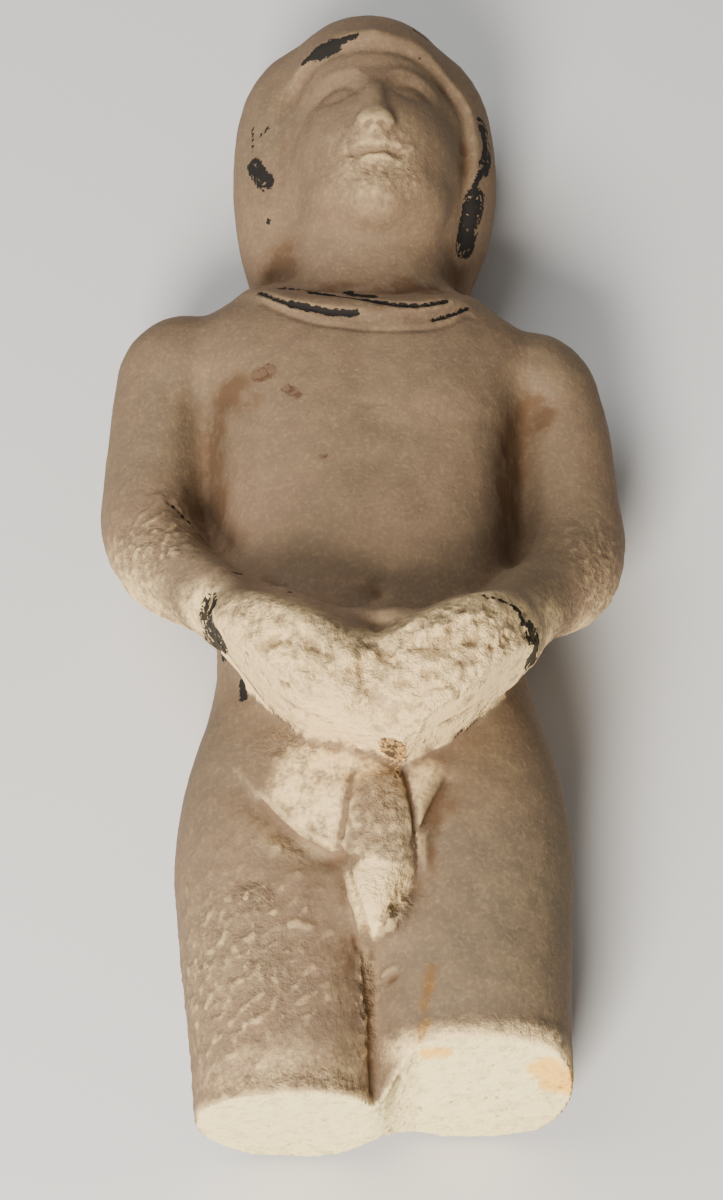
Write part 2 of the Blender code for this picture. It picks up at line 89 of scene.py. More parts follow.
# Cuts and ridges: half width, rise out of the stone or into it, places
HEAD_LINES = {
    "right_hairline": (1.4, 0.4, (-13.6, 48.0), (-12.4, 55.0), (-12.2, 65.0), (-11.9, 73.0)),
    "right_crest": (1.5, -0.35, (-14.8, 50.0), (-14.0, 57.0), (-14.0, 66.0), (-13.5, 72.0), (-11.5, 76.5)),
    "brow_hairline": (
        1.2, -0.15, (-11.9, 73.0), (-8.6, 78.2), (-3.8, 80.1), (2.9, 80.5),
        (9.5, 80.1), (14.6, 77.7), (18.0, 73.4),
    ),
    "left_hairline": (1.2, -0.15, (18.0, 73.4), (18.5, 64.0), (17.8, 55.0), (16.2, 46.0), (17.0, 41.0)),
}
FACE_LINES = {
    "right_lid": (0.6, -0.2, (-6.6, 71.0), (-4.6, 72.6), (-2.2, 72.8), (0.0, 71.2)),
    "left_lid": (0.6, -0.2, (12.7, 71.0), (10.7, 72.6), (8.3, 72.8), (6.1, 71.2)),
    "right_lower_lid": (0.6, -0.15, (-6.0, 70.6), (-3.2, 69.4), (-0.4, 70.4)),
    "left_lower_lid": (0.6, -0.15, (12.1, 70.6), (9.3, 69.4), (6.5, 70.4)),
    "right_brow": (1.0, 0.2, (-7.4, 73.6), (-4.2, 75.6), (-0.4, 75.2), (1.4, 73.2)),
    "left_brow": (1.0, 0.2, (13.5, 73.6), (10.3, 75.6), (6.5, 75.2), (4.7, 73.2)),
    "right_nose_side": (1.0, -0.2, (0.7, 70.5), (0.5, 66.0), (-0.9, 62.6)),
    "left_nose_side": (1.0, -0.2, (5.4, 70.5), (5.6, 66.0), (7.0, 62.6)),
    "philtrum": (0.6, -0.12, (3.05, 60.4), (3.05, 59.0)),
    "mouth": (0.55, -0.35, (-0.9, 57.4), (1.5, 57.7), (3.05, 57.3), (4.6, 57.7), (7.0, 57.4)),
}
COLLAR_LINES = {
    "neck_crease": (
        0.7, -0.5, (-16.0, 38.2), (-11.1, 37.4), (-4.6, 35.4),
        (1.1, 34.7), (6.7, 34.9), (13.2, 38.0),
    ),
    "upper_line": (
        0.4, -0.5, (-7.8, 34.8), (-3.0, 32.8), (2.6, 30.6),
        (6.5, 29.7), (10.5, 30.1), (13.9, 31.6),
    ),
    "left_line": (
        0.4, -0.45, (-15.9, 35.4), (-13.3, 32.6), (-10.9, 30.8),
        (-7.7, 29.5), (-4.5, 28.4), (-0.3, 28.2),
    ),
    "lower_edge": (
        0.6, -0.35, (-15.6, 32.8), (-11.7, 29.1), (-6.1, 26.2), (0.2, 25.2),
        (6.4, 24.7), (12.8, 25.7), (17.7, 29.4),
    ),
    "right_line": (0.35, -0.35, (11.6, 27.2), (14.5, 28.7), (17.3, 31.2)),
    "twist_1": (0.3, -0.2, (7.6, 27.4), (9.4, 29.4)),
    "twist_2": (0.3, -0.2, (9.8, 27.4), (11.8, 29.8)),
    "twist_3": (0.3, -0.2, (12.0, 28.2), (13.8, 30.6)),
    "twist_4": (0.3, -0.2, (14.2, 29.4), (15.8, 32.0)),
}
BODY_LINES = {
    "right_armpit_crease": (1.6, -0.35, (-21.8, 16.7), (-18.7, 12.7), (-15.8, 9.7)),
    "left_armpit_crease": (1.6, -0.3, (29.3, 15.8), (26.1, 13.0), (23.1, 7.4)),
    "left_breast_edge": (1.2, -0.2, (8.6, 8.6), (14.0, 7.6), (21.0, 9.4)),
    "chest_scratch": (0.35, -0.16, (-0.4, 10.5), (4.0, 10.2)),
    "belly_scratch": (0.3, -0.12, (-4.9, -7.4), (-3.0, -8.9)),
    "forearm_scratch": (0.3, -0.3, (-29.8, -1.6), (-26.6, -4.6), (-24.6, -6.6)),
}
HAND_LINES = {
    "right_top_edge": (
        0.9, 0.5, (-17.6, -33.0), (-14.1, -32.2), (-10.1, -34.8),
        (-6.7, -37.8), (-3.9, -40.2), (-1.6, -41.4),
    ),
    "left_top_edge": (0.9, 0.5, (-1.6, -41.4), (1.0, -40.0), (3.7, -38.0), (7.9, -35.8)),
    "thumb_ridge": (0.6, 0.9, (7.6, -38.4), (9.6, -37.5), (12.7, -36.2), (16.5, -34.1)),
    "thumb_cut": (1.1, -0.7, (6.6, -39.6), (10.5, -40.2), (15.0, -38.4)),
    "left_finger_1": (0.8, -0.5, (10.6, -47.6, 42.2), (13.1, -46.2, 41.4), (15.8, -44.2, 40.4)),
    "left_finger_2": (0.7, -0.4, (8.9, -47.8, 48.5), (12.4, -46.3, 48.5), (16.4, -43.6, 46.6)),
    "left_finger_3": (0.6, -0.45, (6.8, -44.2), (12.0, -42.8), (18.0, -39.0)),
    "right_finger_1": (0.7, -0.6, (-11.8, -42.9, 41.4), (-8.3, -46.0, 42.2), (-5.0, -47.6, 43.0)),
    "right_finger_2": (0.8, -0.45, (-12.0, -42.7, 46.6), (-8.8, -45.2, 48.6), (-5.6, -46.6, 49.0)),
    "right_finger_3": (0.7, -0.25, (-13.6, -37.6), (-8.7, -39.4), (-4.6, -41.0)),
    "fingers_meet": (0.6, -0.4, (-0.6, -41.6), (0.4, -45.0), (1.8, -49.4)),
}
GROIN_LINES = {
    "right_groin": (0.6, -0.9, (-15.0, -55.2), (-10.7, -60.1), (-6.8, -62.8), (-3.6, -64.0)),
    "right_groin_lip": (0.7, 0.4, (-12.6, -56.2), (-9.6, -58.8), (-6.4, -61.2), (-3.6, -62.4)),
    "sex_right_side": (
        0.7, -0.9, (-1.9, -52.0), (-2.9, -56.6), (-3.6, -60.6), (-3.9, -62.8),
        (-3.0, -66.0), (-1.3, -71.4), (-0.2, -74.6),
    ),
    "sex_left_side": (
        0.7, -1.1, (5.8, -52.4), (6.7, -56.9), (7.3, -60.4), (7.6, -62.9),
        (7.1, -67.1), (4.9, -70.4), (2.0, -73.8),
    ),
    "sex_fold": (0.8, -0.35, (-1.9, -61.6), (1.6, -62.8), (5.6, -62.0)),
    "left_groin": (0.7, -0.7, (7.9, -60.8), (9.0, -58.3), (10.2, -55.6), (11.6, -52.8)),
    "inner_thigh": (0.5, -0.5, (-4.4, -63.6), (-3.6, -67.6), (-2.6, -71.6), (-1.2, -75.8)),
    "thigh_line": (
        0.6, -0.4, (-0.2, -74.4), (-0.3, -76.4), (0.0, -80.1),
        (0.2, -84.7), (0.2, -90.0), (0.2, -94.2),
    ),
    "nick": (0.55, -0.45, (2.4, -79.8), (3.7, -79.4)),
    "nick_lip": (0.45, 0.3, (2.0, -78.8), (3.5, -78.4)),
    "scar_lip": (0.5, 0.25, (-17.8, -69.6), (-16.2, -68.2), (-14.2, -67.9)),
    "right_lump": (0.7, 0.35, (-10.6, -73.4), (-7.9, -73.5)),
}
BACK_LINES = {
    "spine": (1.4, -0.5, (0.6, 30.0), (0.9, 4.0), (1.0, -34.0)),
    "seat_cleft": (0.8, -0.9, (1.2, -42.0), (1.2, -66.0)),
    "thigh_cleft": (0.6, -0.7, (1.2, -66.0), (1.0, -94.5)),
    "right_seat_fold": (0.9, -0.4, (-2.0, -68.3), (-12.0, -70.4), (-20.6, -67.8)),
    "left_seat_fold": (0.9, -0.4, (4.4, -68.3), (14.4, -70.4), (22.8, -67.8)),
    "wig_hem": (0.7, -0.6, (-16.0, 38.2), (-8.0, 35.9), (1.2, 34.9), (10.4, 35.9), (17.4, 38.2)),
}
# Ledges: width of the drop, drop on the right of the path, how far it fades, places
LEDGES = {
    "pubis": (0.6, -0.9, 3.0, (-17.0, -52.6), (-14.6, -55.8), (-10.7, -59.9), (-6.8, -62.5), (-3.2, -63.9)),
    "sex": (0.6, -0.8, 2.5, (7.4, -62.9), (7.0, -67.1), (4.8, -70.3), (2.0, -74.0)),
}
# Swellings and hollows: place, half sizes across and along, rise
FACE_DABS = {
    "right_eye": (-3.2, 71.2, 2.4, 1.1, 0.25),
    "left_eye": (9.3, 71.2, 2.4, 1.1, 0.25),
    "right_nostril_wing": (0.5, 62.3, 1.3, 1.2, 0.3),
    "left_nostril_wing": (5.6, 62.3, 1.3, 1.2, 0.3),
    "right_nostril": (1.9, 60.9, 0.6, 0.5, -0.3),
    "left_nostril": (4.2, 60.9, 0.6, 0.5, -0.3),
    "upper_lip": (3.05, 58.5, 3.2, 0.8, 0.25),
    "lower_lip": (3.05, 56.3, 2.8, 0.9, 0.3),
    "right_mouth_corner": (-1.2, 57.3, 0.7, 0.7, -0.15),
    "left_mouth_corner": (7.3, 57.3, 0.7, 0.7, -0.15),
    "chin": (3.05, 51.2, 3.2, 2.2, 0.3),
}
BODY_DABS = {
    "hand_hollow": (-12.9, -38.0, 1.6, 0.8, -0.6),
    "ochre_hollow": (3.9, -51.2, 1.9, 1.2, -0.5),
    "scar": (-15.9, -69.4, 1.6, 1.0, 0.3),
}

# Outlines on the front, each corner across and along
HANDS = (
    (-22.6, -27.0), (-20.1, -29.0), (-15.9, -30.0), (-10.1, -33.6), (-6.7, -36.6), (-2.6, -39.4),
    (1.2, -38.2), (5.1, -36.4), (10.7, -33.6), (16.4, -31.0), (20.0, -30.6), (23.0, -31.6),
    (26.0, -33.6), (25.2, -35.0), (22.2, -37.8), (19.3, -40.7), (15.8, -44.4), (12.4, -46.9),
    (8.2, -49.5), (5.4, -51.5), (2.2, -50.1), (-3.3, -48.0), (-9.3, -46.0), (-12.4, -42.9),
    (-15.8, -38.7), (-18.8, -34.4), (-21.4, -30.6),
)
PUBIS = (
    (-14.6, -54.4), (-12.8, -50.6), (-10.6, -47.6), (-8.0, -46.6), (-3.2, -48.4), (2.4, -50.6),
    (5.4, -52.4), (9.0, -50.2), (11.0, -50.8), (9.6, -54.2), (7.8, -59.4), (6.9, -56.8),
    (6.0, -53.6), (2.0, -53.2), (-1.6, -53.4), (-2.9, -56.8), (-3.6, -60.8), (-3.2, -63.4),
    (-6.8, -62.0), (-10.7, -59.4),
)
SEX_TIP = (
    (-3.2, -66.4), (0.6, -64.8), (3.6, -66.2), (6.8, -65.2), (6.4, -67.6), (4.0, -71.2),
    (1.0, -74.6), (-0.9, -73.0),
)
SEX_ROOT = (
    (-1.9, -52.4), (5.4, -52.4), (6.8, -57.0), (7.2, -63.0), (6.8, -65.8), (-3.0, -65.8),
    (-3.6, -61.0), (-2.7, -56.6),
)
# Pale worn stone inside outlines: share, width of the edge where it faces down and up the body,
# lowest height, height above that up to which only steep stone counts, corners
WORN = (
    (1.0, 0.5, 11.0, 31.0, 8.0, HANDS),
    (0.58, 3.0, 3.0, 26.0, 0.0, PUBIS),
    (1.0, 0.9, 0.9, 26.0, 0.0, SEX_TIP),
    (0.22, 1.2, 1.2, 26.0, 0.0, SEX_ROOT),
)
HANDS_LIP = 1.2             # how wide the hands' smooth edge is

# Where the stone is rough: place, half sizes, share
CHIPPED = (
    (-32.0, -13.0, 22.0, 9.0, 9.5, 13.0, 0.7),
    (-26.0, -22.0, 24.0, 7.0, 7.0, 10.0, 0.75),
    (34.0, -16.0, 20.0, 8.0, 11.0, 12.0, 0.55),
    (28.0, -26.0, 26.0, 7.0, 6.0, 10.0, 0.6),
    (1.5, -61.0, 38.0, 6.0, 10.0, 8.0, 0.6),
    (1.8, -69.6, 34.0, 5.0, 5.0, 6.0, 0.85),
    (-9.0, -47.0, 35.0, 8.0, 3.4, 6.0, 0.7),
    (-8.0, -62.0, 34.0, 7.0, 2.0, 5.0, 0.6),
    (0.0, -82.0, 28.0, 1.6, 12.0, 5.0, 0.8),
    (-16.0, -80.0, 26.0, 14.0, 20.0, 18.0, 0.5),
    (-16.0, -69.6, 32.0, 3.2, 2.4, 6.0, 1.0),
    (3.0, 56.0, 38.0, 11.0, 9.0, 10.0, 0.45),
    (16.0, -88.2, 28.0, 15.0, 2.6, 7.0, 0.65),
    (-10.0, -95.0, 29.0, 14.0, 2.4, 6.0, 0.65),
    (8.0, -92.0, 26.0, 4.0, 2.0, 5.0, 1.0),
)
# Where the tool was drawn across it
TOOLED = (
    (-16.0, -78.0, 24.0, 13.0, 20.0, 20.0, 1.0),
    (-34.0, -8.0, 20.0, 8.0, 14.0, 14.0, 0.8),
    (-25.0, -24.0, 30.0, 7.0, 6.0, 10.0, 0.6),
    (35.0, -14.0, 20.0, 8.0, 12.0, 12.0, 0.6),
    (17.0, 12.0, 32.0, 6.0, 4.0, 6.0, 0.4),
    (-8.0, 20.0, 33.0, 14.0, 10.0, 8.0, 0.2),
    (14.0, -80.0, 26.0, 16.0, 16.0, 16.0, 0.15),
)
CHALKY = (
    (-31.0, -16.0, 14.0, 11.0, 11.0, 12.0, 0.95),
    (-24.0, -25.0, 34.0, 6.0, 5.0, 7.0, 0.7),
    (32.0, -19.0, 13.0, 10.0, 11.0, 12.0, 0.75),
    (27.0, -29.0, 34.0, 6.0, 5.0, 7.0, 0.6),
    (3.0, 55.0, 38.0, 10.0, 9.0, 10.0, 0.3),
    (-12.0, -93.0, 26.0, 14.0, 5.0, 14.0, 0.4),
    (16.0, -89.4, 27.0, 15.0, 2.4, 7.0, 1.0),
    (-14.0, -60.0, 33.0, 5.0, 4.0, 6.0, 0.25),
    (-18.0, -78.0, 22.0, 10.0, 18.0, 14.0, 0.26),
)
# Where the skin is greener and darker: partly the stone's own tint, partly painted shade, as on the +X
# thigh and the hips
DULL_AND_SHADED = (
    (19.0, -72.0, 28.0, 20.0, 26.0, 24.0, 1.0),
    (6.0, -84.0, 30.0, 5.0, 10.0, 10.0, 0.6),
    (20.0, -44.0, 26.0, 8.0, 12.0, 12.0, 0.3),
    (-19.0, -46.0, 26.0, 9.0, 13.0, 14.0, 0.8),
    (-30.0, 16.0, 22.0, 9.0, 14.0, 14.0, 0.6),
    (0.0, 70.0, 24.0, 26.0, 24.0, 20.0, 0.25),
    (16.0, 22.0, 31.0, 9.0, 6.0, 8.0, 0.4),
    (0.0, 44.0, 28.0, 14.0, 5.0, 10.0, 0.3),
    (1.5, -30.0, 35.0, 9.0, 5.0, 6.0, 0.8),
)
# Brown dirt in patches: place, half sizes, share. The two patches at the eyes are painted shade in the eye
# sockets
SOILED_AND_SHADED = (
    (-12.6, 45.0, 22.0, 3.6, 5.4, 7.0, 1.2),
    (8.0, 36.4, 28.0, 7.4, 2.2, 4.0, 1.25),
    (-4.0, 36.4, 28.0, 6.0, 1.3, 4.0, 0.8),
    (3.6, 29.4, 33.5, 2.6, 1.8, 3.0, 0.6),
    (15.6, 45.0, 20.0, 3.0, 5.0, 6.0, 1.0),
    (18.4, 64.6, 26.0, 1.5, 4.0, 4.0, 1.0),
    (-12.2, 66.0, 26.0, 1.0, 5.0, 4.0, 0.45),
    (-20.6, 15.8, 29.0, 4.0, 2.8, 6.0, 1.3),
    (-17.4, 12.4, 32.0, 3.0, 2.4, 4.0, 0.7),
    (-23.2, 9.0, 24.0, 2.6, 7.0, 6.0, 1.2),
    (-22.4, -1.0, 22.5, 3.0, 5.4, 6.0, 1.2),
    (-20.0, -8.6, 26.0, 1.6, 3.4, 4.0, 0.5),
    (27.6, 14.2, 24.5, 3.6, 4.0, 6.0, 1.2),
    (23.8, 8.0, 24.5, 3.2, 5.8, 6.0, 1.3),
    (21.8, -1.0, 26.0, 2.8, 6.6, 6.0, 1.1),
    (21.6, -9.0, 26.0, 2.0, 5.0, 5.0, 0.6),
    (18.6, -17.6, 33.0, 1.6, 4.6, 5.0, 0.35),
    (1.9, -22.8, 34.5, 1.5, 0.9, 3.0, 0.45),
    (-1.6, -23.0, 35.0, 2.2, 1.2, 3.0, 0.5),
    (9.6, -58.6, 35.0, 1.6, 3.4, 4.0, 0.9),
    (11.6, -56.0, 34.0, 2.4, 2.0, 4.0, 0.7),
    (9.0, -63.4, 33.0, 1.0, 3.4, 4.0, 0.6),
    (-4.6, -64.6, 33.0, 2.0, 1.2, 3.0, 0.7),
    (-3.6, -68.6, 33.0, 1.0, 4.6, 3.0, 0.6),
    (-2.4, -77.0, 30.0, 2.0, 3.0, 4.0, 0.8),
    (-5.6, -76.6, 32.0, 4.0, 1.4, 4.0, 0.45),
    (0.2, -84.0, 27.0, 0.8, 12.0, 5.0, 0.6),
    (2.0, -60.0, 37.0, 3.4, 3.0, 3.0, 0.3),
    (-3.4, -79.8, 30.0, 1.2, 1.0, 3.0, 0.3),
    (3.3, -79.8, 29.0, 0.7, 0.5, 2.0, 0.8),
    (-11.0, -43.2, 46.8, 1.8, 0.9, 1.6, 0.5),
    (-7.4, -46.0, 48.8, 2.0, 0.9, 1.2, 0.5),
    (-10.2, -44.4, 41.6, 2.4, 1.2, 1.2, 0.4),
    (-12.9, -37.9, 49.0, 1.6, 0.7, 1.6, 0.4),
    (12.0, -46.9, 41.8, 1.8, 1.0, 1.0, 0.7),
    (14.8, -44.9, 41.0, 1.6, 1.0, 1.0, 0.6),
    (8.6, -40.0, 51.0, 1.6, 0.8, 1.2, 0.45),
    (-3.0, -43.0, 50.0, 4.0, 2.0, 3.0, 0.25),
    (13.0, -37.6, 50.0, 3.4, 1.0, 2.0, 0.35),
    # painted shade in the eye sockets
    (-5.0, 71.0, 34.0, 2.4, 1.0, 4.0, 0.6),
    (11.0, 71.0, 34.0, 2.4, 1.0, 4.0, 0.6),
    (23.4, -58.6, 31.0, 1.0, 2.6, 3.0, 0.4),
)
# Strokes of black paint that are left: half width and places
PAINTED = (
    (0.55, (-8.9, 80.5), (-7.4, 81.0)),
    (1.25, (-6.3, 80.9), (-3.6, 81.7)),
    (0.55, (-3.0, 82.0), (0.2, 82.6)),
    (0.5, (10.1, 88.3), (12.2, 87.5)),
    (0.35, (10.9, 80.6)),
    (0.25, (-17.5, 72.7), (-17.6, 67.6)),
    (0.5, (-17.3, 64.8), (-16.2, 62.2), (-15.2, 61.0)),
    (0.4, (-14.6, 70.9), (-16.0, 70.1)),
    (0.45, (-14.9, 54.3)),
    (0.6, (21.0, 63.6), (19.8, 60.6)),
    (0.35, (21.4, 60.2)),
    (0.35, (-15.9, 35.6), (-13.3, 32.7), (-10.9, 30.8)),
    (0.75, (-10.6, 30.7), (-7.7, 29.5), (-4.5, 28.5), (-1.8, 28.1)),
    (0.65, (-0.5, 28.3)),
    (0.3, (-15.4, 37.6), (-11.1, 37.5), (-7.8, 35.0)),
    (0.42, (-7.8, 35.0), (-3.0, 32.9), (2.6, 30.6), (6.5, 29.7), (10.5, 30.1), (13.9, 31.6)),
    (1.0, (-1.8, 34.4), (2.2, 32.9)),
    (0.4, (11.6, 27.2), (14.5, 28.7), (17.3, 31.2)),
    (0.3, (17.4, -30.9), (17.0, -30.3)),
    (0.3, (17.4, -30.9), (19.3, -30.6), (20.7, -30.8)),
    (0.75, (21.4, -31.0), (22.4, -32.8)),
    (0.3, (-19.2, -19.4), (-17.8, -19.5)),
    (0.28, (-13.5, -23.4), (-11.8, -24.2)),
    (0.22, (-29.4, -2.0), (-26.6, -4.6)),
    (0.4, (-10.4, -27.6)),
    (0.9, (-18.0, -35.2, 30.4), (-17.7, -37.6, 31.2)),
)
# The same where the paint has worn to a net
LACED = (
    (2.9, (-23.8, -26.4, 38.0), (-23.2, -29.0, 37.0), (-22.2, -30.8, 35.0)),
    (1.7, (-22.3, -29.2, 33.0), (-22.0, -28.2, 27.0)),
    (1.8, (24.4, -34.0, 43.0), (24.8, -35.6, 40.0), (24.6, -36.6, 36.0), (24.2, -36.6, 32.0)),
    (1.9, (20.2, 58.6), (19.2, 55.0), (17.9, 51.4)),
    (1.4, (21.6, 73.2), (22.3, 69.0), (21.6, 65.0)),
    (1.3, (-17.3, 65.0), (-16.2, 62.2), (-15.2, 60.8)),
    (1.2, (-6.3, 81.1), (-3.6, 81.7)),
)
# Red-brown spots and yellow stains
RUSTY = (
    (1.5, (-15.6, 17.1), (-14.2, 17.3)),
    (0.4, (-12.4, 16.5), (-11.8, 16.0)),
    (0.95, (-11.2, 13.4), (-9.7, 12.2)),
    (0.65, (-7.7, 8.4)),
    (0.65, (-5.7, 0.6)),
    (0.35, (-5.9, 2.4)),
    (0.3, (7.4, -61.0), (7.6, -63.4)),
)
YELLOWED = (
    (0.5, (8.7, -79.0), (7.8, -83.7), (7.2, -88.7)),
    (1.4, (8.0, -89.9), (10.3, -89.8)),
    (2.8, (24.6, -91.4, 22.0), (27.0, -91.8, 18.0)),
)
# Ochre crumbs, with painted shade in the gaps between them
CRUMBLED = ((2.0, (3.8, -50.4, 41.0), (3.9, -50.9, 39.0)), (0.7, (4.1, -51.4, 37.6), (4.6, -53.2, 37.4)))
STROKES = {"painted": PAINTED, "laced": LACED, "rusty": RUSTY, "yellowed": YELLOWED, "crumbled": CRUMBLED}


def tint(name, description, default):
    return FloatVectorProperty(
        name=name, description=description, default=default, subtype="COLOR", size=3, min=0, max=1,
    )


def length(name, description, default, low, high):
    return FloatProperty(
        name=name, description=description, default=default, min=low, max=high, precision=5,
        subtype="DISTANCE", unit="LENGTH",
    )


class StoneSettings(bpy.types.PropertyGroup):
    grain: length(
        "Carving grain", "Edge of the small cubes that the stone is worked in", 0.48 * MM, 0.3 * MM, 2 * MM,
    )
    triangles: IntProperty(
        name="Triangles", description="Most triangles that the finished stone keeps",
        default=192000, min=5000,
    )
    line_depth: FloatProperty(
        name="Line depth", description="How deep the carved lines are left, from 0 to 1 as cut",
        default=1.0, min=0, max=2, subtype="FACTOR",
    )
    chip_depth: length("Chip depth", "Depth of the chips where the stone is rough", 0.65 * MM, 0, 2 * MM)
    wave_depth: length("Wave depth", "Height of the slow waves in the skin", 0.08 * MM, 0, 2 * MM)
    tool_depth: length("Tool mark depth", "Depth of the rubbed marks of the tool", 0.42 * MM, 0, 1 * MM)
    skin_colour: tint("Skin", "Handled, greyed face of the stone", (0.176, 0.116, 0.067))
    warm_colour: tint("Warm skin", "Pinker patches of the same face", (0.191, 0.118, 0.069))
    # dull skin: partly the stone's greener tint, partly painted shade
    dull_and_shaded_colour: tint("Dull skin", "Darker, greener patches of the same face", (0.114, 0.084, 0.051))
    chalk_colour: tint("Chalk", "Pale stone where it is worn and chipped", (0.92, 0.66, 0.325))
    break_colour: tint("Break", "Cream inside of the stone", (1.0, 0.82, 0.40))
    # brown of the dirt; it also paints shade in the eye sockets and between the ochre crumbs, and darkens
    # the creases
    soil_and_shade_colour: tint("Soil", "Brown dirt in the hollows", (0.108, 0.054, 0.023))
    stain_tint: tint("Yellow stain", "What a yellow stain leaves of the stone's colour", (1.0, 0.67, 0.2))
    rust_colour: tint("Rust", "Red-brown spots", (0.085, 0.034, 0.013))
    ochre_colour: tint("Ochre", "Ochre crumbs", (0.50, 0.28, 0.09))
    paint_colour: tint("Black paint", "What is left of the black paint", (0.014, 0.014, 0.014))


class StageSettings(bpy.types.PropertyGroup):
    floor_size: FloatProperty(
        name="Floor", description="Edge of the square floor", default=4.0, min=0.5,
        subtype="DISTANCE", unit="LENGTH",
    )
    floor_colour: tint("Floor colour", "Colour of the floor", (0.72, 0.71, 0.69))
    camera_tilt: FloatProperty(
        name="Camera tilt", description="How far the camera leans back from looking straight down",
        default=radians(28.0), subtype="ANGLE", unit="ROTATION",
    )
    camera_roll: FloatProperty(
        name="Camera roll", description="Turn of the camera about its own view",
        default=radians(-0.8), subtype="ANGLE", unit="ROTATION",
    )
    camera_place: FloatVectorProperty(
        name="Camera place", description="Where the camera stands", subtype="TRANSLATION", unit="LENGTH",
        size=3, default=(-0.2 * MM, -182.4 * MM, 332.8 * MM),
    )
    camera_lens: FloatProperty(
        name="Lens", description="Focal length on a film 24 mm high", default=46.0, min=1, unit="CAMERA",
    )
    key_power: FloatProperty(
        name="Key light", description="Power of the light at the foot", default=12.6, min=0, unit="POWER",
    )
    fill_power: FloatProperty(
        name="Fill light", description="Power of the light overhead", default=5.2, min=0, unit="POWER",
    )
    sky_strength: FloatProperty(
        name="Sky", description="Strength of the even light from all round", default=0.22, min=0,
    )


def only(piece):
    """Selects one object alone and makes it active."""
    bpy.ops.object.select_all(action="DESELECT")
    piece.select_set(True)
    bpy.context.view_layer.objects.active = piece


def finish_with(piece, kind, **settings):
    """Adds a modifier with these settings and applies it."""
    only(piece)
    bpy.ops.object.modifier_add(type=kind)
    modifier = piece.modifiers[-1]
    for name, value in settings.items():
        setattr(modifier, name, value)
    bpy.ops.object.modifier_apply(modifier=modifier.name)


def smooth_path(places, steps=5):
    """Points along a curve through the given places."""
    places = np.array(places, float)
    if len(places) < 3:
        return places
    ends = np.vstack((2 * places[0] - places[1], places, 2 * places[-1] - places[-2]))
    found = []
    for a, b, c, d in zip(ends, ends[1:], ends[2:], ends[3:]):
        for t in np.linspace(0, 1, steps, endpoint=False):
            bend, twist = 2 * a - 5 * b + 4 * c - d, 3 * b - a - 3 * c + d
            found.append((2 * b + (c - a) * t + bend * t**2 + twist * t**3) / 2)
    return np.array(found + [places[-1]])


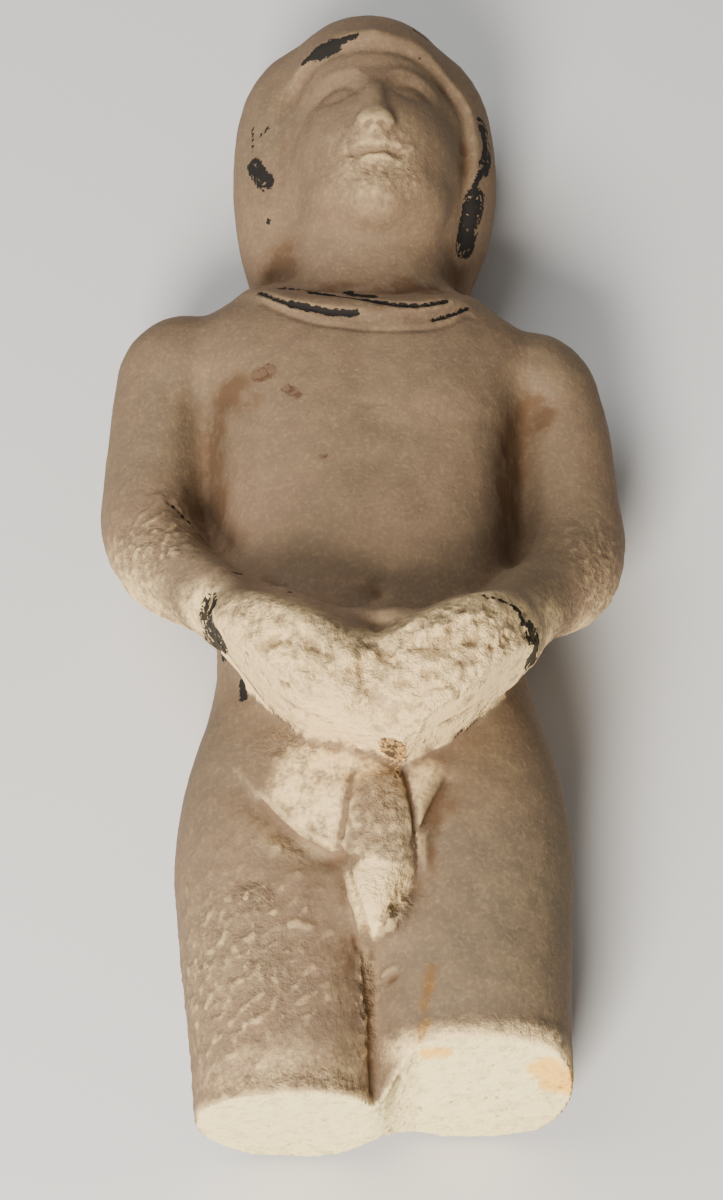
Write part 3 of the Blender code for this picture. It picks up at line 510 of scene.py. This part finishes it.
class Skin:
    """The stone's points in millimetres, with where each one faces."""

    def __init__(self, stone):
        self.mesh = stone.data
        self.read()
        corners = [face.vertices[:] for face in self.mesh.polygons]
        self.tree = BVHTree.FromPolygons([Vector(point) for point in self.points], corners)

    def read(self):
        count = len(self.mesh.vertices)
        points = np.empty(count * 3)
        self.mesh.vertices.foreach_get("co", points)
        facing = np.empty(count * 3)
        self.mesh.vertex_normals.foreach_get("vector", facing)
        self.points = points.reshape(-1, 3) / MM
        self.facing = facing.reshape(-1, 3)
        self.rise = np.zeros(count)

    def settle(self):
        """Moves every point along its facing by what was cut or raised there."""
        self.points += self.facing * self.rise[:, None]
        self.mesh.vertices.foreach_set("co", (self.points * MM).ravel())
        self.mesh.update()
        self.read()

    def place(self, spot, back=False):
        """A spot on the stone: two numbers are looked up from the front, or from below.

        Past the outline it is the nearest spot.
        """
        if len(spot) == 3:
            return spot
        start, way = (-FRONT, 1) if back else (FRONT, -1)
        found = self.tree.ray_cast(Vector((*spot, start)), Vector((0, 0, way)))[0]
        if found is None:
            found = self.tree.find_nearest(Vector((*spot, MIDDLE)))[0]
        return found[:]

    def path(self, spots, back=False):
        return smooth_path([self.place(spot, back) for spot in spots])

    def near(self, path, reach):
        low, high = path.min(axis=0) - reach, path.max(axis=0) + reach
        return np.flatnonzero(np.all((self.points > low) & (self.points < high), axis=1))

    def distance(self, near, path):
        """How far each near point is from the path, and on which side of it, seen from the front."""
        points = self.points[near]
        found = np.full(len(near), np.inf)
        side = np.zeros(len(near))
        if len(path) == 1:
            return np.linalg.norm(points - path[0], axis=1), side
        for start, end in zip(path, path[1:]):
            run = end - start
            share = np.clip((points - start) @ run / (run @ run), 0, 1)
            away = points - start - share[:, None] * run
            length = np.linalg.norm(away, axis=1)
            closer = length < found
            found[closer] = length[closer]
            side[closer] = (run[0] * away[:, 1] - run[1] * away[:, 0])[closer]
        return found, np.sign(side)

    def line(self, half_width, rise, *spots, back=False):
        path = self.path(spots, back)
        near = self.near(path, 2.4 * half_width)
        distance, _ = self.distance(near, path)
        self.rise[near] += rise * np.exp(-((distance / half_width) ** 2))

    def ledge(self, width, drop, fade, *spots):
        """A drop on the right of the path, which comes back to the old height over the fade."""
        path = self.path(spots)
        near = self.near(path, 3 * fade)
        distance, side = self.distance(near, path)
        signed = distance * side
        self.rise[near] += drop / (1 + np.exp(4 * signed / width)) * np.exp(-((distance / fade) ** 2))

    def dab(self, across, along, half_across, half_along, rise):
        place = np.array(self.place((across, along)))
        half = np.array((half_across, half_along, 2 * max(half_across, half_along)))
        near = self.near(place[None], 2.4 * half.max())
        self.rise[near] += rise * np.exp(-(((self.points[near] - place) / half) ** 2).sum(axis=1))

    def patches(self, spots):
        """A field from 0 to 1 over rounded patches."""
        found = np.zeros(len(self.points))
        for *numbers, share in spots:
            place, half = np.array(numbers[:3]), np.array(numbers[3:])
            found = np.maximum(found, share * np.exp(-(((self.points - place) / half) ** 2).sum(axis=1)))
        return found

    def inside(self, corners, lowest, wall):
        """How many millimetres each point is inside an outline seen from the front, or outside it below 0.

        Nothing below the lowest height counts, nor what isn't steep up to the wall's height above that.
        It also says whether the nearest edge faces up the body, in an outline that runs clockwise.
        """
        flat = self.points[:, :2]
        found = np.full(len(flat), np.inf)
        within = np.zeros(len(flat), bool)
        upper = np.zeros(len(flat), bool)
        for start, end in zip(np.array(corners), np.roll(corners, -1, axis=0)):
            run = end - start
            share = np.clip((flat - start) @ run / (run @ run), 0, 1)
            away = np.linalg.norm(flat - start - share[:, None] * run, axis=1)
            upper[away < found] = run[0] > 0
            found = np.minimum(found, away)
            crossed = (start[1] > flat[:, 1]) != (end[1] > flat[:, 1])
            within ^= crossed & (flat[:, 0] < start[0] + (flat[:, 1] - start[1]) * run[0] / (run[1] or 1))
        level = self.points[:, 2] - lowest
        counts = (level > wall) | ((level > 0) & (self.facing[:, 2] < STEEP))
        return np.where(counts, np.where(within, found, -found), -np.inf), upper

    def worn(self, areas):
        """A field from 0 to 1 over the outlines, which rises over the width of their edge."""
        found = np.zeros(len(self.points))
        for share, lower_edge, upper_edge, lowest, wall, corners in areas:
            inside, upper = self.inside(corners, lowest, wall)
            edge = np.where(upper, upper_edge, lower_edge)
            found = np.maximum(found, share * np.clip(0.5 + inside / edge, 0, 1))
        return found

    def facets(self, near, size):
        """Flat chips of about this size, each at a height and a lean of its own."""
        found = np.empty(len(near))
        for i, point in enumerate((self.points[near] / size).tolist()):
            middle = noise.voronoi(point)[1][0]
            lean = noise.noise_vector(middle * 5.1)
            found[i] = 0.7 * noise.noise(middle * 7.3) + lean.dot(Vector(point) - middle)
        return found

    def strokes(self, rows):
        """How many millimetres each point is inside the strokes, or outside them below 0."""
        found = np.full(len(self.points), -FAR)
        for half_width, *spots in rows:
            path = self.path(spots)
            near = self.near(path, FAR + half_width)
            inside = half_width - self.distance(near, path)[0]
            found[near] = np.maximum(found[near], inside)
        return found

    def waves(self, near, length, octaves=1, stretch=None):
        """Noise of one wave length at the near points, drawn out along one way."""
        points = self.points[near] / length
        if stretch is not None:
            way, factor = np.array(stretch[0], float), stretch[1]
            way /= np.linalg.norm(way)
            points = points - (points @ way)[:, None] * way * (1 - 1 / factor)
        return np.array([noise.fractal(point, 1.0, 2.0, octaves) for point in points.tolist()])

    def edges(self):
        """Each point and the one across, for every edge both ways, and how many edges a point has."""
        ends = np.empty(len(self.mesh.edges) * 2, int)
        self.mesh.edges.foreach_get("vertices", ends)
        one, other = ends.reshape(-1, 2).T
        both, across = np.concatenate((one, other)), np.concatenate((other, one))
        return both, across, np.maximum(np.bincount(both, minlength=len(self.points)), 1)

    def soften(self, values, passes):
        """The values, each mixed this many times with the mean of those next to it."""
        both, across, share = self.edges()
        for _ in range(passes):
            values = (values + np.bincount(both, values[across], len(values)) / share) / 2
        return values

    def hollows(self):
        """How sharply the skin bends inwards at each point, per millimetre."""
        count = len(self.points)
        both, across, share = self.edges()
        sums = [np.bincount(both, self.points[across, axis], count) for axis in range(3)]
        around = np.stack([total / share for total in sums], axis=1)
        squares = ((self.points[both] - self.points[across]) ** 2).sum(axis=1)
        square = np.bincount(both, squares, count) / share
        return 4 * ((around - self.points) * self.facing).sum(axis=1) / np.maximum(square, 0.01)

    def keep(self, name, values):
        """Stores a number for each point, which the material reads."""
        field = self.mesh.attributes.new(name, "FLOAT", "POINT")
        field.data.foreach_set("value", values.astype(np.float32))


def rough_out(settings):
    """A fine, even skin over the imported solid."""
    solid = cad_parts["statuette"]
    stone = bpy.data.objects.new("carved_statuette", solid.data.copy())
    stone.data.name = "carved_statuette"
    stone.data.materials.clear()
    bpy.context.scene.collection.objects.link(stone)
    only(stone)
    bpy.ops.object.mode_set(mode="EDIT")
    bpy.ops.mesh.select_all(action="SELECT")
    bpy.ops.mesh.remove_doubles(threshold=0.01 * MM)
    bpy.ops.mesh.customdata_custom_splitnormals_clear()
    bpy.ops.object.mode_set(mode="OBJECT")
    crease_rim(stone)
    finish_with(stone, "SUBSURF", levels=2, render_levels=2, subdivision_type="CATMULL_CLARK")
    finish_with(stone, "REMESH", mode="VOXEL", voxel_size=settings.grain)
    finish_with(stone, "SMOOTH", factor=0.5, iterations=4)
    return stone


def crease_rim(stone):
    """Keeps the edge round the broken faces sharp."""
    shape = bmesh.new()
    shape.from_mesh(stone.data)
    creases = shape.edges.layers.float.new("crease_edge")
    for edge in shape.edges:
        low = max(vert.co.y for vert in edge.verts) < RIM_BELOW * MM
        if low and len(edge.link_faces) == 2 and edge.calc_face_angle(0) > RIM_ANGLE:
            edge[creases] = 0.8
    shape.to_mesh(stone.data)
    shape.free()


def carve_lines(skin, depth):
    for lines in (HEAD_LINES, FACE_LINES, COLLAR_LINES, BODY_LINES, HAND_LINES, GROIN_LINES):
        for half_width, rise, *spots in lines.values():
            skin.line(half_width, rise * depth, *spots)
    for half_width, rise, *spots in BACK_LINES.values():
        skin.line(half_width, rise * depth, *spots, back=True)
    for numbers in (*FACE_DABS.values(), *BODY_DABS.values()):
        skin.dab(*numbers)


def broken_face(skin):
    """From 0 to 1 on the broken faces of the thighs."""
    turned = np.clip((BREAK_FACING - skin.facing[:, 1]) / 0.25, 0, 1)
    return turned * np.clip((BREAK_BELOW - skin.points[:, 1]) / 1.5, 0, 1)


def rough_places(skin, broken):
    """A field of how chipped the stone is. The lower edge of the hands is smooth."""
    inside, upper = skin.inside(HANDS, *HANDS_CHIPPED_FROM)
    hands = np.clip(np.where(upper, 0.5 + inside / HANDS_FADE, inside / HANDS_LIP), 0, 1)
    return np.maximum(skin.patches(CHIPPED), np.maximum(HANDS_CHIPPED * hands, BREAK_CHIPPED * broken))


def weather(skin, settings):
    """Chips, slow waves and rubbed tool marks in the skin."""
    everywhere = np.arange(len(skin.points))
    broken = broken_face(skin)
    rough = rough_places(skin, broken)
    tooled = np.maximum(skin.patches(TOOLED), EVEN_TOOLING) * (1 - broken)
    above = np.clip(skin.points[:, 2] / 1.5, 0, 1)      # the flats that it lies on stay flat
    waves = skin.waves(everywhere, WAVE_LENGTH, 2)
    strokes = skin.waves(everywhere, TOOL_LENGTH, 3, TOOL_WAY)
    skin.rise += settings.wave_depth / MM * waves * above * (1 - broken)
    skin.rise += settings.tool_depth / MM * strokes * above * tooled
    chipped = np.flatnonzero(rough > 0.04)
    broad, narrow = skin.facets(chipped, BROAD_CHIP), skin.facets(chipped, NARROW_CHIP)
    fine = skin.waves(chipped, FINE_CHIP, 2)
    chips = 0.9 * broad + 0.6 * narrow + 0.3 * fine - 0.1
    skin.rise[chipped] += settings.chip_depth / MM * rough[chipped] * chips


def mark(skin):
    """The fields that the material reads."""
    broken = broken_face(skin)
    front = skin.facing[:, 2] > UNDERSIDE
    worn = skin.soften(skin.worn(WORN), 2)
    skin.keep("chipped", np.minimum(rough_places(skin, broken), 1))
    skin.keep("chalky", np.maximum(skin.patches(CHALKY), worn))
    skin.keep("soiled_and_shaded", skin.patches(SOILED_AND_SHADED))
    skin.keep("dull_and_shaded", skin.patches(DULL_AND_SHADED))
    skin.keep("broken", broken)
    skin.keep("hollow", np.clip(skin.soften(skin.hollows(), 3), -1, 1))
    for name, rows in STROKES.items():
        skin.keep(name, np.where(front, skin.strokes(rows), -FAR))


class Bench:
    """Nodes of one material, put side by side."""

    def __init__(self, material):
        material.use_nodes = True
        self.tree = material.node_tree
        self.shader = self.tree.nodes["Principled BSDF"]
        self.place = self.add("ShaderNodeTexCoord").outputs["Object"]

    def add(self, kind, **settings):
        node = self.tree.nodes.new(kind)
        for name, value in settings.items():
            setattr(node, name, value)
        return node

    def put(self, socket, value):
        if isinstance(value, bpy.types.NodeSocket):
            self.tree.links.new(value, socket)
        elif hasattr(value, "__len__") and len(value) == 3 and socket.type == "RGBA":
            socket.default_value = (*value, 1)
        else:
            socket.default_value = value

    def field(self, name):
        return self.add("ShaderNodeAttribute", attribute_name=name).outputs["Fac"]

    def sum(self, operation, *values):
        node = self.add("ShaderNodeMath", operation=operation)
        for socket, value in zip(node.inputs, values):
            self.put(socket, value)
        return node.outputs[0]

    def ramp(self, value, low, high, to_low=0.0, to_high=1.0):
        node = self.add("ShaderNodeMapRange", interpolation_type="SMOOTHSTEP")
        for socket, number in zip(node.inputs, (value, low, high, to_low, to_high)):
            self.put(socket, number)
        return node.outputs[0]

    def mix(self, share, one, other, blend="MIX"):
        node = self.add("ShaderNodeMix", data_type="RGBA", blend_type=blend)
        self.put(node.inputs["Factor"], share)
        self.put(node.inputs[6], one)       # the sockets for colours, which share their names with others
        self.put(node.inputs[7], other)
        return node.outputs[2]

    def noise(self, size, detail=3.0, rough=0.55, stretch=None, distortion=0.0):
        """Noise whose waves are this many millimetres long."""
        place = self.place
        if stretch:
            mapping = self.add("ShaderNodeMapping")
            mapping.inputs["Rotation"].default_value = (0, 0, stretch[0])
            mapping.inputs["Scale"].default_value = (1, 1 / stretch[1], 1)
            self.put(mapping.inputs["Vector"], place)
            place = mapping.outputs[0]
        node = self.add("ShaderNodeTexNoise")
        self.put(node.inputs["Vector"], place)
        numbers = {"Scale": 1 / (size * MM), "Detail": detail, "Roughness": rough, "Distortion": distortion}
        for name, value in numbers.items():
            node.inputs[name].default_value = value
        return node.outputs["Fac"]

    def cells(self, size):
        node = self.add("ShaderNodeTexVoronoi", feature="F1")
        self.put(node.inputs["Vector"], self.place)
        node.inputs["Scale"].default_value = 1 / (size * MM)
        return node.outputs["Distance"]

    def bump(self, height, depth, strength=1.0, under=None):
        node = self.add("ShaderNodeBump")
        node.inputs["Strength"].default_value = strength
        node.inputs["Distance"].default_value = depth * MM
        self.put(node.inputs["Height"], height)
        if under is not None:
            self.put(node.inputs["Normal"], under)
        return node.outputs[0]


def weathered_limestone(settings):
    """Handled greige skin, chalky where worn, cream where broken, with soil, stains and old paint, painted
    shade and a painted highlight on the ridges.
    """
    material = bpy.data.materials.new("weathered_limestone")
    bench = Bench(material)
    chipped, chalky, soiled_and_shaded, dull_and_shaded, broken, hollow = (
        bench.field(name) for name in ("chipped", "chalky", "soiled_and_shaded", "dull_and_shaded", "broken", "hollow")
    )
    painted, laced, rusty, yellowed, crumbled = (bench.field(name) for name in STROKES)
    slow, middle, fine = bench.noise(22), bench.noise(3.2, 5, 0.6), bench.noise(0.7, 4, 0.6)

    # Handled skin
    colour = bench.mix(bench.ramp(slow, 0.38, 0.62), settings.skin_colour, settings.warm_colour)
    # greener, darker patches: partly the stone's tint, partly painted shade on the +X thigh and the hips
    greener = bench.sum("MULTIPLY", dull_and_shaded, bench.ramp(middle, 0.25, 0.7, 1.0, 0.8))
    colour = bench.mix(greener, colour, settings.dull_and_shaded_colour)
    colour = bench.mix(bench.ramp(middle, 0.35, 0.75, 0.0, 0.05), colour, settings.chalk_colour)
    colour = bench.mix(bench.ramp(fine, 0.45, 0.75, 0.0, 0.08), colour, settings.chalk_colour)

    # Chalky worn stone, the cream breaks, and a painted highlight on the ridges
    ragged = bench.ramp(fine, 0.3, 0.7, -0.35, 0.35)
    frayed = bench.sum("ADD", bench.ramp(middle, 0.35, 0.65, -0.2, 0.2), bench.sum("MULTIPLY", ragged, 0.5))
    worn = bench.sum("ADD", chalky, bench.sum("MULTIPLY", frayed, bench.ramp(chalky, 0, 0.7)))
    worn = bench.sum("SUBTRACT", worn, bench.ramp(hollow, 0.1, 0.9, 0.0, 0.3))
    colour = bench.mix(bench.ramp(worn, 0.05, 0.85), colour, settings.chalk_colour)
    colour = bench.mix(broken, colour, settings.break_colour)
    streaks = bench.ramp(bench.noise(2.6, 5, 0.68, stretch=(0.6, 1.8), distortion=0.6), 0.46, 0.6, 0.0, 0.5)
    blush = bench.sum("MULTIPLY", streaks, bench.ramp(chipped, 0.6, 1.0))
    colour = bench.mix(blush, colour, settings.warm_colour)
    # painted highlight: ridges and edges are mixed toward the chalk colour, less where the stone is smooth
    raised = bench.ramp(hollow, -0.1, -0.8, 0.0, 0.45)
    raised = bench.sum("MULTIPLY", raised, bench.ramp(chipped, 0.0, 0.5, 0.25, 1.0))
    colour = bench.mix(raised, colour, settings.chalk_colour)
    sunk = bench.sum("MULTIPLY", bench.ramp(hollow, 0.1, 0.9, 0.0, 0.5), bench.ramp(chipped, 0.1, 0.6))
    colour = bench.mix(sunk, colour, bench.mix(0.35, settings.warm_colour, settings.chalk_colour))

    # Dirt in patches, painted shade in the eye sockets, and darker in the creases
    soil_and_shade = bench.sum("MULTIPLY", soiled_and_shaded, bench.ramp(middle, 0.3, 0.62, 0.25, 1.4))
    # darker in the creases, less where the stone is chipped
    crease = bench.ramp(hollow, 0.15, 0.9, 0.0, 0.45)
    crease = bench.sum("MULTIPLY", crease, bench.ramp(chipped, 0.1, 0.6, 1.0, 0.2))
    soil_and_shade = bench.sum("ADD", soil_and_shade, crease)
    soil_and_shade = bench.sum("MULTIPLY", soil_and_shade, bench.ramp(broken, 0.0, 1.0, 1.0, 0.3))
    colour = bench.mix(bench.ramp(soil_and_shade, 0.05, 1.0, 0.0, 0.8), colour, settings.soil_and_shade_colour)

    # Specks, and pits in the breaks
    specks = bench.ramp(bench.noise(0.9, 2, 0.5), 0.70, 0.76, 0.0, 0.35)
    colour = bench.mix(specks, colour, settings.soil_and_shade_colour)
    dots = bench.ramp(bench.cells(1.6), 0.10, 0.30, 0.5, 0.0)
    dots = bench.sum("MULTIPLY", dots, bench.ramp(fine, 0.4, 0.6))
    dots = bench.sum("ADD", dots, bench.ramp(bench.noise(2.4, 5, 0.7), 0.5, 0.62, 0.0, 0.24))
    colour = bench.mix(bench.sum("MULTIPLY", dots, broken), colour, settings.skin_colour)

    # Stains, crumbs, spots and paint
    yellow = bench.sum("ADD", yellowed, bench.ramp(middle, 0.3, 0.7, -0.6, 0.6))
    colour = bench.mix(bench.ramp(yellow, -1.0, 0.9, 0.0, 0.9), colour, settings.stain_tint, "MULTIPLY")
    lace = bench.noise(1.7, 3, 0.6, distortion=1.2)
    crumb = bench.ramp(bench.sum("ADD", crumbled, ragged), -0.2, 0.2, 0.0, 0.95)
    gaps = bench.ramp(bench.noise(0.9, 2, 0.5, distortion=0.8), 0.44, 0.54)
    # painted shade in the gaps between the ochre crumbs
    painted_gap_shade = bench.mix(0.6, settings.soil_and_shade_colour, settings.paint_colour)
    colour = bench.mix(crumb, colour, bench.mix(gaps, painted_gap_shade, settings.ochre_colour))
    rust = bench.ramp(bench.sum("ADD", rusty, ragged), -0.1, 0.25, 0.0, 0.9)
    rust = bench.sum("MULTIPLY", rust, bench.ramp(lace, 0.4, 0.6, 1.0, 0.45))
    colour = bench.mix(rust, colour, settings.rust_colour)
    flaked = bench.sum("ADD", bench.sum("MINIMUM", laced, 0.6), bench.sum("MULTIPLY", ragged, 0.7))
    flaked = bench.sum("ADD", flaked, bench.ramp(lace, 0.55, 0.62, 0.3, -1.3))
    whole = bench.sum("ADD", painted, bench.sum("MULTIPLY", ragged, 0.6))
    paint = bench.ramp(bench.sum("MAXIMUM", flaked, whole), -0.08, 0.08, 0.0, 0.96)
    colour = bench.mix(paint, colour, settings.paint_colour)
    bench.put(bench.shader.inputs["Base Color"], colour)

    # Sheen and fine relief
    rough = bench.ramp(middle, 0.3, 0.7, 0.72, 0.9)
    rough = bench.sum("SUBTRACT", rough, bench.sum("MULTIPLY", paint, 0.1))
    bench.put(bench.shader.inputs["Roughness"], rough)
    bench.put(bench.shader.inputs["Specular IOR Level"], bench.ramp(paint, 0.0, 1.0, 0.35, 0.08))

    pits = bench.ramp(bench.cells(1.7), 0.05, 0.28)
    grain = bench.bump(bench.noise(0.45, 3, 0.6), 0.09, 0.7)
    marks = bench.bump(bench.noise(1.0, 3, 0.5, stretch=(0.9, 4)), 0.10, 0.6, grain)
    pitted = bench.bump(pits, 0.10, 0.35, marks)
    crumbs = bench.sum("MULTIPLY", bench.noise(1.5, 5, 0.65), bench.ramp(chipped, 0.05, 0.7))
    rubble = bench.bump(crumbs, 1.2, 1.0, pitted)
    flakes = bench.bump(paint, 0.06, 0.6, rubble)
    bench.put(bench.shader.inputs["Normal"], flakes)
    return material


class STATUETTE_OT_carve(bpy.types.Operator):
    """Carves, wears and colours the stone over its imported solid"""

    bl_idname = "statuette.carve"
    bl_label = "Carve the Statuette"
    bl_options = {"REGISTER", "UNDO"}

    def execute(self, context):
        settings = context.scene.statuette_stone
        stone = rough_out(settings)
        skin = Skin(stone)
        for numbers in LEDGES.values():
            skin.ledge(*numbers)
        skin.settle()
        carve_lines(skin, settings.line_depth)
        skin.settle()
        weather(skin, settings)
        skin.settle()
        count = 2 * len(stone.data.polygons)
        if count > settings.triangles:
            finish_with(stone, "DECIMATE", ratio=settings.triangles / count)
        mark(Skin(stone))
        only(stone)
        bpy.ops.object.shade_smooth()
        stone.data.materials.append(weathered_limestone(settings))
        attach(stone, "root")
        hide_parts("statuette")
        return {"FINISHED"}


def soft_light(name, power, place, aim, size, colour):
    bpy.ops.object.light_add(type="AREA", location=place)
    light = bpy.context.object
    light.name = name
    light.data.energy = power
    light.data.size = size
    light.data.color = colour
    light.rotation_euler = (Vector(aim) - Vector(place)).to_track_quat("-Z", "Y").to_euler()


class STATUETTE_OT_stage(bpy.types.Operator):
    """Sets the floor, the lights and the camera"""

    bl_idname = "statuette.stage"
    bl_label = "Set the Stage"
    bl_options = {"REGISTER", "UNDO"}

    def execute(self, context):
        settings = context.scene.statuette_stage
        bpy.ops.object.select_all(action="DESELECT")
        bpy.ops.mesh.primitive_plane_add(size=settings.floor_size)
        floor = context.object
        floor.name = "floor"
        paper = bpy.data.materials.new("pale_paper")
        paper.use_nodes = True
        shader = paper.node_tree.nodes["Principled BSDF"]
        shader.inputs["Base Color"].default_value = (*settings.floor_colour, 1)
        shader.inputs["Roughness"].default_value = 0.9
        floor.data.materials.append(paper)

        soft_light("key", settings.key_power, *KEY_LIGHT)
        soft_light("fill", settings.fill_power, *FILL_LIGHT)
        world = context.scene.world or bpy.data.worlds.new("sky")
        context.scene.world = world
        world.use_nodes = True
        sky = world.node_tree.nodes["Background"]
        sky.inputs["Color"].default_value = SKY_COLOUR
        sky.inputs["Strength"].default_value = settings.sky_strength

        ahead = Vector((0, sin(settings.camera_tilt), -cos(settings.camera_tilt)))
        level = Vector((1, 0, 0))
        upright = level.cross(ahead)
        across = cos(settings.camera_roll) * level + sin(settings.camera_roll) * upright
        up = cos(settings.camera_roll) * upright - sin(settings.camera_roll) * level
        bpy.ops.object.camera_add()
        camera = context.object
        camera.name = "photo_camera"
        turned = Matrix((across, up, -ahead)).transposed().to_4x4()
        camera.matrix_world = Matrix.Translation(settings.camera_place) @ turned
        camera.data.sensor_fit = "VERTICAL"
        camera.data.sensor_height = FILM_HEIGHT
        camera.data.lens = settings.camera_lens
        camera.data.clip_start = 0.01
        context.scene.camera = camera
        return {"FINISHED"}


class STATUETTE_PT_panel(bpy.types.Panel):
    """The statuette's sizes and colours, and its steps in order"""

    bl_idname = "STATUETTE_PT_panel"
    bl_label = "Statuette"
    bl_space_type = "VIEW_3D"
    bl_region_type = "UI"
    bl_category = "Statuette"

    def draw(self, context):
        for operator, settings in (
            (STATUETTE_OT_carve, context.scene.statuette_stone),
            (STATUETTE_OT_stage, context.scene.statuette_stage),
        ):
            box = self.layout.box()
            box.operator(operator.bl_idname)
            for name in settings.__annotations__:
                box.prop(settings, name)


CLASSES = (StoneSettings, StageSettings, STATUETTE_OT_carve, STATUETTE_OT_stage, STATUETTE_PT_panel)


def register():
    for kind in CLASSES:
        bpy.utils.register_class(kind)
    bpy.types.Scene.statuette_stone = PointerProperty(type=StoneSettings)
    bpy.types.Scene.statuette_stage = PointerProperty(type=StageSettings)


def unregister():
    del bpy.types.Scene.statuette_stage
    del bpy.types.Scene.statuette_stone
    for kind in reversed(CLASSES):
        bpy.utils.unregister_class(kind)


def corners(box):
    return [list(corner) for corner in box]


def main():
    register()
    bpy.ops.statuette.stage()
    bpy.ops.statuette.carve()


if __name__ == "__main__":
    main()
